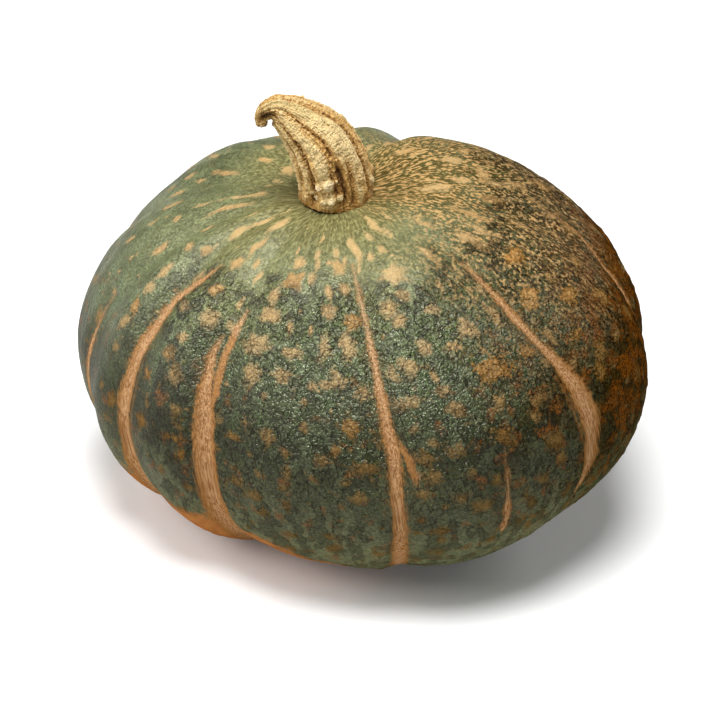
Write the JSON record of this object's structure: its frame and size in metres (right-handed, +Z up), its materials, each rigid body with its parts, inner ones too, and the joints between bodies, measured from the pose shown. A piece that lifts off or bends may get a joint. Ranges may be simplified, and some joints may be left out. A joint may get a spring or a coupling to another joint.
{
  "type": "kabocha squash",
  "caption": "Whole kabocha squash: a lobed, flattened fruit with a dimpled crown and a bent, ridged dry stem, resting on its pressed-flat belly.",
  "frame": {"origin": "middle of the object's footprint, on the plane it rests on", "axes": "+Z up, +X to the right and -Y towards the viewer; the stem bends towards -X"},
  "size_m": [0.2146, 0.19, 0.1763],
  "materials": {
    "rind": "waxy, warty dark green rind with tan flecks and meridian stripes",
    "cork": "dry, ridged, corky stem"
  },
  "bodies": {
    "root": {"fruit": "rind", "stem": "cork"}
  },
  "joints": []
}
